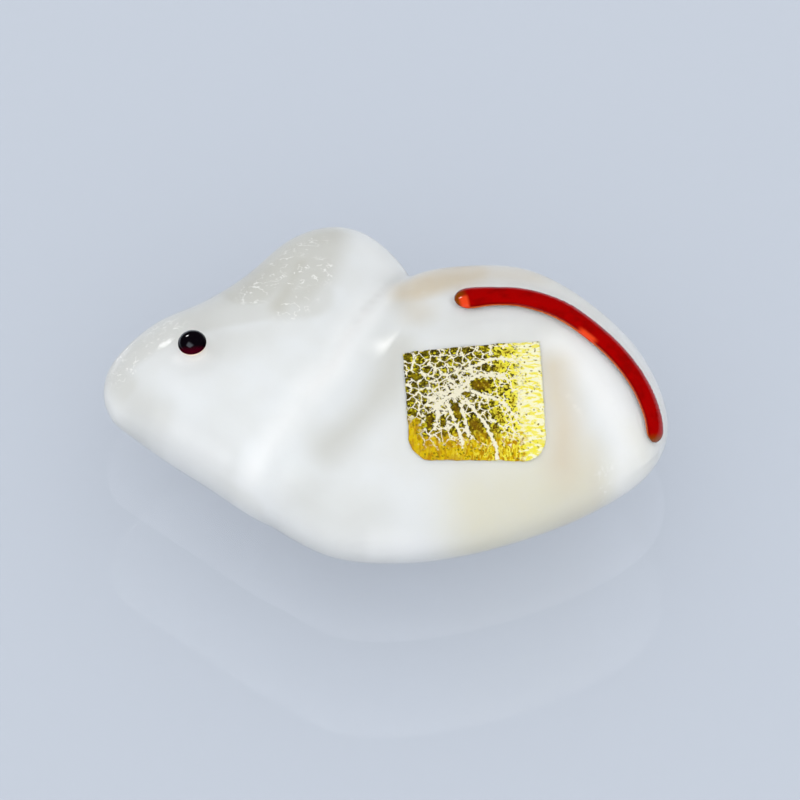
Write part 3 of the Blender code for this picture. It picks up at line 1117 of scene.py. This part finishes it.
@dataclass
class Casing:
    """Clear skin over the opal body, thick on the flank, thin at the ear, ground through below."""

    form: RatForm
    crown: float = 1.2
    edge: float = 0.75
    belly: float = 1.4
    pressed: float = 0.55
    tail_bed: float = 1.9
    eye_bed: float = 1.7
    bed_softness: float = 1.5
    lap: float = 0.02
    finish: ClearGlass = ClearGlass()

    def wall(self) -> np.ndarray:
        """Thickness at each of the form's points, less where the tail and the eye are pressed in.

        Returns:
            A thickness in millimetres for each point.
        """
        _, across, up = self.form.normals.T
        flanks = (self.crown - self.edge) * up**2
        wall = self.edge + flanks + (self.belly - self.edge) * np.minimum(across, 0) ** 2
        places = self.form.points[:, :2] / MM
        for line, half_width in ((Tail.route, self.tail_bed), ((Eye.place, Eye.place), self.eye_bed)):
            press = band(places, line, half_width, self.bed_softness) * (up > 0)
            wall += (self.pressed - wall) * press
        return wall

    def build(self) -> bpy.types.Object:
        """Builds the skin, whose inner face lies just inside the opal, so that the two are fused.

        Returns:
            The finished piece.
        """
        mesh = self.form.skin(0.0)
        inner = self.form.skin(self.wall() + self.lap)
        bmesh.ops.reverse_faces(inner, faces=inner.faces)
        data = bpy.data.meshes.new("inner")
        inner.to_mesh(data)
        inner.free()
        mesh.from_mesh(data)
        bpy.data.meshes.remove(data)
        return mesh_object("casing", grind(mesh), self.finish.material())

    def dress(self) -> None:
        """Builds the casing and puts it in place."""
        seat(self.build(), "glass_casing")


@dataclass
class OpalBody:
    """The milky body inside the casing, with its tones, painted light and shade among them."""

    form: RatForm
    casing: Casing
    finish: OpalGlass = OpalGlass()

    def build(self) -> bpy.types.Object:
        """Builds the body, ground flat underneath, with the tones that its finish reads.

        Returns:
            The finished piece.
        """
        mesh = self.form.skin(self.casing.wall())
        piece = mesh_object("opal", grind(mesh), self.finish.material())
        places = np.array([corner.co for corner in piece.data.vertices])[:, :2] / MM
        for tone in Tone:
            covers = [stroke.cover(places) for stroke in STROKES[tone]]
            layer = piece.data.attributes.new(tone.value, "FLOAT", "POINT")
            layer.data.foreach_set("value", np.max(covers, axis=0))
        return piece

    def dress(self) -> None:
        """Builds the body and puts it in place."""
        seat(self.build(), "opal_body")


@dataclass
class GoldLeaf:
    """Leaf draped over the opal. In its own plane x runs from its middle to the rear and y to the back."""

    form: RatForm
    casing: Casing
    centre: Place = (8.9, -5.5)
    turn: float = 3.0
    half_length: float = 6.75
    foot: float = -6.2
    head: float = 6.2
    head_slope: float = 0.8
    front_corner: float = 2.2
    rear_corner: float = 2.5
    torn: float = 0.34
    tear_scale: float = 900.0
    thickness: float = 0.03
    spacing: float = 0.12
    curve_steps: int = 6
    merged: float = 1e-7
    hub: tuple[Place, ...] = ((-3.6, -0.1), (-2.3, 0.9), (-0.9, 1.7))
    cracks: tuple[tuple[Place, ...], ...] = (
        ((-3.6, -0.3), (-2.4, 0.4), (-1.1, 1.4), (-0.2, 2.3), (0.9, 2.7), (2.2, 2.5), (3.4, 2.1)),
        ((-2.4, 0.4), (-0.7, 1.0), (0.6, 0.4), (2.0, 0.0), (2.9, -0.8), (3.9, -2.0)),
        ((-0.8, 3.4), (0.8, 4.0), (1.8, 4.5), (3.1, 4.5), (4.3, 4.3), (5.7, 4.5)),
        ((-3.5, -0.3), (-3.8, -1.6), (-4.2, -3.1)),
        ((-2.8, -0.5), (-2.2, -2.2), (-1.8, -3.4), (-1.5, -4.9)),
        ((-1.5, -0.6), (-1.1, -2.4), (-0.9, -3.9)),
        ((-0.8, -0.4), (-0.1, -1.3), (0.7, -2.4), (1.4, -4.0), (1.8, -5.0), (1.8, -6.2)),
    )
    islands: tuple[tuple[float, tuple[tuple[Place, ...], ...]], ...] = (
        (0.72, (((0.3, 1.6), (1.2, 1.4)), ((-0.3, -2.6), (0.4, -3.8)))),
        (0.45, (((2.2, 3.4), (2.9, 3.6)), ((3.2, 5.3), (3.8, 5.5)), ((3.8, 0.2), (3.6, -0.6)),
                ((1.9, -1.4), (2.5, -2.3)), ((1.7, -3.0), (2.0, -3.9)), ((-2.0, -0.8), (-1.7, -1.9)),
                ((-4.5, -1.8), (-4.7, -2.7)))),
        (0.32, (((4.0, 3.4), (4.3, 3.4)), ((1.5, 3.3), (1.5, 3.4)), ((2.6, 0.7), (3.2, 1.3)),
                ((-3.3, -2.0), (-3.3, -2.6)), ((-6.2, 2.9), (-5.6, 3.0)), ((-1.1, 0.8), (-0.7, 0.5)),
                ((2.1, 4.7), (2.2, 4.7)))),
    )
    finish: Gold = Gold()

    def outline(self, recipe: Recipe, position: Socket) -> Socket:
        """Place in the leaf's plane, in metres, of a point of a square one metre wide.

        Args:
            recipe: The tree that is wired up.
            position: Place on the square.

        Returns:
            The place's socket.
        """
        names = ("half_length", "foot", "head", "head_slope", "front_corner", "rear_corner", "torn")
        sizes = [recipe.size(name, getattr(self, name) * MM) for name in names]
        length, foot, head, slope, front_corner, rear_corner, torn = sizes
        along, up = recipe.axes(position)[:2]
        to_rear = recipe.plus(along, 0.5)
        at_front = recipe.times(front_corner, recipe.minus(1.0, to_rear))
        corner = recipe.plus(at_front, recipe.times(rear_corner, to_rear))
        top = recipe.plus(head, recipe.times(along, slope))
        share = recipe.plus(up, 0.5)
        y = recipe.plus(foot, recipe.times(share, recipe.minus(top, foot)))
        near = recipe.share(recipe.minus(y, foot), corner)
        bend = recipe.most(recipe.minus(1.0, near), 0.0)
        square = recipe.least(recipe.times(bend, bend), 1.0)
        tuck = recipe.minus(1.0, recipe.math("SQRT", recipe.minus(1.0, square)))
        reach = recipe.minus(length, recipe.times(tuck, corner))
        x = recipe.times(recipe.times(along, 2.0), reach)
        warped = recipe.warped(recipe.combine(x, y), self.tear_scale, torn, 3.0)
        return recipe.vector("MULTIPLY", warped, (1.0, 1.0, 0.0))

    def distance(self, recipe: Recipe, name: str,
                 lines: list[np.ndarray]) -> tuple[Socket, bpy.types.Object]:
        """Distance in millimetres from lines in the leaf's plane.

        Args:
            recipe: The tree that is wired up.
            name: Name of the guide.
            lines: Points of each line, in millimetres.

        Returns:
            The distance's socket and the guide.
        """
        guide = line_object(name, lines)
        inputs = {0: recipe.shape(name, guide), 2: recipe.position()}
        metres = recipe.add("GeometryNodeProximity", inputs, target_element="EDGES").outputs["Distance"]
        return recipe.share(metres, MM), guide

    def build(self) -> bpy.types.Object:
        """Builds the leaf with what its finish reads: places, cracks, islands and the hub.

        Returns:
            The finished piece.
        """
        recipe = Recipe("leaf_drape")
        bed_mesh = self.form.skin(self.casing.wall() - self.thickness)
        guides = [mesh_object("leaf_bed", bed_mesh)]
        bed = recipe.shape("Bed", guides[0])
        steps = [int(2 * reach / self.spacing) for reach in (self.half_length, (self.head - self.foot) / 2)]
        inputs = {0: 1.0, 1: 1.0, 2: recipe.size("Columns", steps[0]), 3: recipe.size("Rows", steps[1])}
        sheet = recipe.add("GeometryNodeMeshGrid", inputs).outputs["Mesh"]
        sheet = recipe.move(sheet, self.outline(recipe, recipe.position()))
        flat = recipe.vector("DIVIDE", recipe.position(), (MM, MM, MM))
        sheet = recipe.store(sheet, "leaf_place", flat, Kind.VECTOR)
        for name, lines in (("crack", self.cracks), ("hub", (self.hub,))):
            curves = [smooth_curve(line, self.curve_steps) for line in lines]
            gap, guide = self.distance(recipe, name, curves)
            sheet = recipe.store(sheet, name, gap)
            guides.append(guide)
        inside = None
        for radius, lines in self.islands:
            straight = [np.array(line) for line in lines]
            gap, guide = self.distance(recipe, f"island_{len(guides)}", straight)
            guides.append(guide)
            cover = recipe.minus(recipe.size(f"Island radius {len(guides)}", radius), gap)
            inside = cover if inside is None else recipe.most(inside, cover)
        sheet = recipe.store(sheet, "island", inside)
        turned = recipe.add("ShaderNodeVectorRotate", {
            "Vector": recipe.position(), "Angle": recipe.size("Turn", math.radians(self.turn)),
        }, rotation_type="Z_AXIS").outputs[0]
        placed = recipe.vector("ADD", turned, (self.centre[0] * MM, self.centre[1] * MM, 0.0))
        sheet = recipe.move(sheet, placed)
        sheet = recipe.move(sheet, recipe.drop(bed, recipe.position()).outputs["Hit Position"])
        thick = recipe.size("Thickness", self.thickness * MM)
        slab = recipe.add("GeometryNodeExtrudeMesh", {0: sheet, 3: thick, 4: False}).outputs["Mesh"]
        under = recipe.add("GeometryNodeFlipFaces", {0: sheet}).outputs[0]
        joined = recipe.add("GeometryNodeJoinGeometry")
        for part in (slab, under):
            recipe.tree.links.new(part, joined.inputs[0])
        piece = recipe.make("leaf", joined.outputs[0], self.finish.material(), self.merged)
        discard(*guides)
        return piece

    def dress(self) -> None:
        """Builds the leaf and puts it in place."""
        seat(self.build(), "gold_leaf")


@dataclass
class Tail:
    """Red trail laid along the back: a blob at its root, a slight waist, and a round tip."""

    form: RatForm
    route: tuple[Place, ...] = (
        (6.9, 6.6), (8.6, 6.9), (10.7, 7.15), (13.8, 7.0), (17.5, 5.6), (21.2, 2.75), (23.6, 0.35),
        (25.4, -2.2), (26.5, -4.8), (26.8, -6.5), (26.9, -7.3),
    )
    girths: tuple[Place, ...] = ((0.0, 1.6), (0.12, 1.6), (0.22, 1.42), (0.42, 1.5), (1.0, 1.15))
    flatness: float = 0.38
    proud: float = -0.1
    rings: int = 260
    sides: int = 28
    curve_steps: int = 8
    merged: float = 1e-6
    finish: RedGlass = RedGlass()

    def build(self) -> bpy.types.Object:
        """Builds the trail along its route on the rat's surface.

        Returns:
            The finished piece.
        """
        line = smooth_curve(self.route, self.curve_steps)
        share = np.linspace(0, 1, len(line))
        girths = np.interp(share, *np.array(self.girths).T) * MM
        guides = [
            line_object("tail_route", [line], {"girth": girths.tolist()}),
            mesh_object("tail_bed", self.form.skin(0.0)),
        ]
        recipe = Recipe("tail_trail")
        curve = recipe.add("GeometryNodeMeshToCurve", {0: recipe.shape("Route", guides[0])}).outputs[0]
        inputs = {0: curve, "Count": recipe.size("Rings", self.rings)}
        curve = recipe.add("GeometryNodeResampleCurve", inputs).outputs[0]
        bed = recipe.shape("Bed", guides[1])
        landed = recipe.drop(bed, recipe.position())
        proud = recipe.size("Proud", self.proud * MM)
        lift = recipe.scaled(landed.outputs["Hit Normal"], proud)
        curve = recipe.store(curve, "up", landed.outputs["Hit Normal"], Kind.VECTOR)
        curve = recipe.move(curve, recipe.vector("ADD", landed.outputs["Hit Position"], lift))
        spline = recipe.add("GeometryNodeSplineParameter")
        whole_length = recipe.add("GeometryNodeCurveLength", {0: curve}).outputs[0]
        girth = recipe.recall("girth")
        to_tip = recipe.minus(whole_length, spline.outputs["Length"])
        from_end = recipe.least(spline.outputs["Length"], to_tip)
        bend = recipe.minus(1.0, recipe.least(recipe.share(from_end, girth), 1.0))
        # Just over 1, so that the trail's first and last ring keep a width.
        round_end = recipe.math("SQRT", recipe.minus(1.0001, recipe.times(bend, bend)))
        curve = recipe.store(curve, "thick", recipe.times(girth, round_end))
        curve = recipe.store(curve, "share", spline.outputs["Factor"])
        tangent = recipe.add("GeometryNodeInputTangent").outputs[0]
        across = recipe.vector("CROSS_PRODUCT", recipe.recall("up", Kind.VECTOR), tangent)
        inputs = {"Curve": curve, "Normal": across}
        curve = recipe.add("GeometryNodeSetCurveNormal", inputs, mode="FREE").outputs[0]
        inputs = {"Resolution": recipe.size("Sides", self.sides), "Radius": 1.0}
        circle = recipe.add("GeometryNodeCurvePrimitiveCircle", inputs).outputs[0]
        circle = recipe.store(circle, "side", recipe.axes(recipe.position())[0])
        flat = recipe.combine(1.0, recipe.size("Flatness", self.flatness), 1.0)
        profile = recipe.add("GeometryNodeTransform", {0: circle, "Scale": flat}).outputs[0]
        inputs = {0: curve, 1: profile, "Scale": recipe.recall("thick"), "Fill Caps": True}
        trail = recipe.add("GeometryNodeCurveToMesh", inputs).outputs[0]
        piece = recipe.make("trail", trail, self.finish.material(), self.merged)
        discard(*guides)
        return piece

    def dress(self) -> None:
        """Builds the tail and puts it in place."""
        seat(self.build(), "tail")


@dataclass
class Eye:
    """Flattened bead pressed into the head."""

    form: RatForm
    place: Place = (-19.0, 1.24)
    radius: float = 1.42
    rise: float = 1.68
    dip: float = 0.3
    segments: int = 64
    finish: BlackGlass = BlackGlass()

    def build(self) -> bpy.types.Object:
        """Builds the bead, with the height and the side of each point for its finish.

        Returns:
            The finished piece.
        """
        point, normal = self.form.touch(self.place)
        around = np.arange(self.segments) * 2 * np.pi / self.segments
        down = np.linspace(0, np.pi, self.segments // 2 + 1)[1:-1, None]
        level = np.cos(down) * np.ones_like(around)
        sphere = np.stack([np.sin(down) * np.cos(around), np.sin(down) * np.sin(around), level], axis=-1)
        poles = [(0.0, 0.0, self.radius * MM), (0.0, 0.0, -self.radius * MM)]
        mesh = loft(sphere * self.radius * MM, poles)
        edge = mesh.verts.layers.float.new("edge")
        glow = mesh.verts.layers.float.new("glow")
        turn = normal.to_track_quat("Z", "Y").to_matrix()
        thick = (self.rise + self.dip) / 2
        for corner in mesh.verts:
            unit = corner.co / (self.radius * MM)
            corner.co.z *= thick / self.radius
            height = corner.co.z / MM + (self.rise - self.dip) / 2
            corner[edge] = 1 - max(height, 0) / self.rise
            # Share of the painted glow: strongest on the bead's front side, at its widest.
            corner[glow] = max(0.0, -(turn @ unit).y) * math.hypot(unit.x, unit.y)
        middle = point + normal * (self.rise - self.dip) / 2 * MM
        bmesh.ops.transform(mesh, matrix=Matrix.Translation(middle) @ turn.to_4x4(), verts=mesh.verts)
        return mesh_object("bead", mesh, self.finish.material())

    def dress(self) -> None:
        """Builds the eye and puts it in place."""
        seat(self.build(), "eye")


@dataclass(frozen=True)
class Window:
    """Soft-edged lamp in the sky, at a place of the plane one metre above the table's middle."""

    centre: Place
    half_size: Place
    turn: float
    softness: float
    radiance: Colour


@dataclass
class Studio:
    """Glass table over a pale base, a plain sky with lamps that show in gloss alone, and the camera."""

    aim: tuple[float, float, float] = (1.5, 2.69, 1.88)
    elevation: float = 55.0
    lens: float = 500.0
    frame_width: float = 80.0
    table: Colour = srgb(156, 163, 173)
    base: Colour = srgb(131, 136, 144)
    glow: float = 1.2
    roughness: float = 0.02
    refraction: float = 1.5
    table_reach: float = 3.0
    plate: float = 8.7
    plate_haze: float = 0.12
    overhead: Colour = (1.57, 1.585, 1.6)
    behind: Colour = (1.72, 1.735, 1.75)
    before: Colour = (2.45, 2.46, 2.48)
    gloss_sky: Colour = (0.012, 0.013, 0.015)
    windows: tuple[Window, ...] = (
        Window((-0.5, -0.38), (0.38, 0.38), 45.0, 0.16, (0.42, 0.47, 0.53)),
        Window((-0.95, 1.7), (0.19, 0.12), -6.0, 0.12, (14.0, 14.0, 14.0)),
    )

    def camera(self) -> None:
        """Sets the camera at the photograph's angle."""
        data = bpy.data.cameras.new("camera")
        data.lens = self.lens
        distance = self.frame_width * self.lens / data.sensor_width * MM
        data.clip_start = distance / 10
        data.clip_end = distance * 10
        thing = bpy.data.objects.new("camera", data)
        bpy.context.scene.collection.objects.link(thing)
        tilt = math.radians(self.elevation)
        back = Vector((0, -math.cos(tilt), math.sin(tilt)))
        thing.location = Vector(self.aim) * MM + back * distance
        thing.rotation_euler = (-back).to_track_quat("-Z", "Y").to_euler()
        bpy.context.scene.camera = thing

    def floor(self) -> None:
        """Lays the glass table: a hazy, glossy face over the pale base under the plate."""
        faces = (("table", 0.0, self.plate_haze, self.table), ("table_base", self.plate, 1.0, self.base))
        for name, depth, haze, colour in faces:
            mesh = bmesh.new()
            bmesh.ops.create_grid(mesh, x_segments=1, y_segments=1, size=self.table_reach)
            bmesh.ops.translate(mesh, vec=(0.0, 0.0, -depth * MM), verts=mesh.verts)
            finish = Finish(name)
            finish.set(Base_Color=colour, Roughness=self.roughness)
            if haze < 1:
                self.clear(finish, haze)
            else:
                finish.set(Emission_Color=colour, Emission_Strength=self.glow)
            mesh_object(name, mesh, finish.material)

    def clear(self, finish: Finish, haze: float) -> None:
        """Lets the table's face show what lies under it, but for its haze and its gloss.

        Args:
            finish: The face's finish.
            haze: Share of the face that hides what is below.
        """
        clear = finish.add("ShaderNodeBsdfTransparent").outputs[0]
        inputs = {0: haze, 1: clear, 2: finish.shader.outputs[0]}
        haze_only = finish.add("ShaderNodeMixShader", inputs).outputs[0]
        mirror = finish.add("ShaderNodeBsdfGlossy", {"Roughness": self.roughness}).outputs[0]
        above = finish.minus(1.0, finish.add("ShaderNodeNewGeometry").outputs["Backfacing"])
        fresnel = finish.add("ShaderNodeFresnel", {"IOR": self.refraction}).outputs[0]
        gloss = finish.times(fresnel, above)
        whole = finish.add("ShaderNodeMixShader", {0: gloss, 1: haze_only, 2: mirror}).outputs[0]
        output = finish.tree.nodes["Material Output"]
        finish.set(Specular_IOR_Level=0.0)
        finish.tree.links.new(whole, output.inputs["Surface"])

    def light(self) -> None:
        """Lights the scene from the whole sky, with lamps that only gloss shows."""
        world = bpy.data.worlds.new("sky")
        world.use_nodes = True
        wiring = Wiring(world.node_tree)
        background = world.node_tree.nodes["Background"]
        direction = wiring.add("ShaderNodeTexCoord").outputs["Generated"]
        _, depth, height = wiring.axes(direction)
        around = wiring.mix(wiring.remap(depth, 0.3, -0.7), self.behind, self.before)
        sky = wiring.mix(wiring.remap(height, 0.35, 0.95), around, self.overhead)
        level = wiring.most(height, 0.02)
        plane = wiring.vector("DIVIDE", direction, wiring.combine(level, level, level))
        gloss = self.gloss_sky
        for window in self.windows:
            turn = (0.0, 0.0, math.radians(window.turn))
            inputs = {"Vector": plane, "Location": (*window.centre, 0.0), "Rotation": turn}
            local = wiring.add("ShaderNodeMapping", inputs, vector_type="TEXTURE").outputs[0]
            sides = wiring.axes(wiring.vector("ABSOLUTE", local))
            shares = [wiring.remap(side, reach + window.softness, reach - window.softness)
                      for side, reach in zip(sides, window.half_size)]
            gloss = wiring.mix(wiring.times(*shares), gloss, window.radiance)
        path = wiring.add("ShaderNodeLightPath").outputs
        mirrored = wiring.minus(path["Is Glossy Ray"], path["Is Transmission Ray"])
        wiring.feed(background.inputs["Color"], wiring.mix(mirrored, sky, gloss))
        bpy.context.scene.world = world

    def build(self) -> None:
        """Builds the whole studio."""
        self.camera()
        self.floor()
        self.light()
        bpy.context.scene.view_settings.view_transform = "Standard"


def main() -> None:
    """Builds and dresses every piece."""
    logging.basicConfig(level=logging.INFO, format="%(message)s")
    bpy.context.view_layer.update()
    form = RatForm()
    casing = Casing(form)
    for piece in (casing, OpalBody(form, casing), GoldLeaf(form, casing), Tail(form), Eye(form)):
        piece.dress()
    Studio().build()


if __name__ == "__main__":
    main()
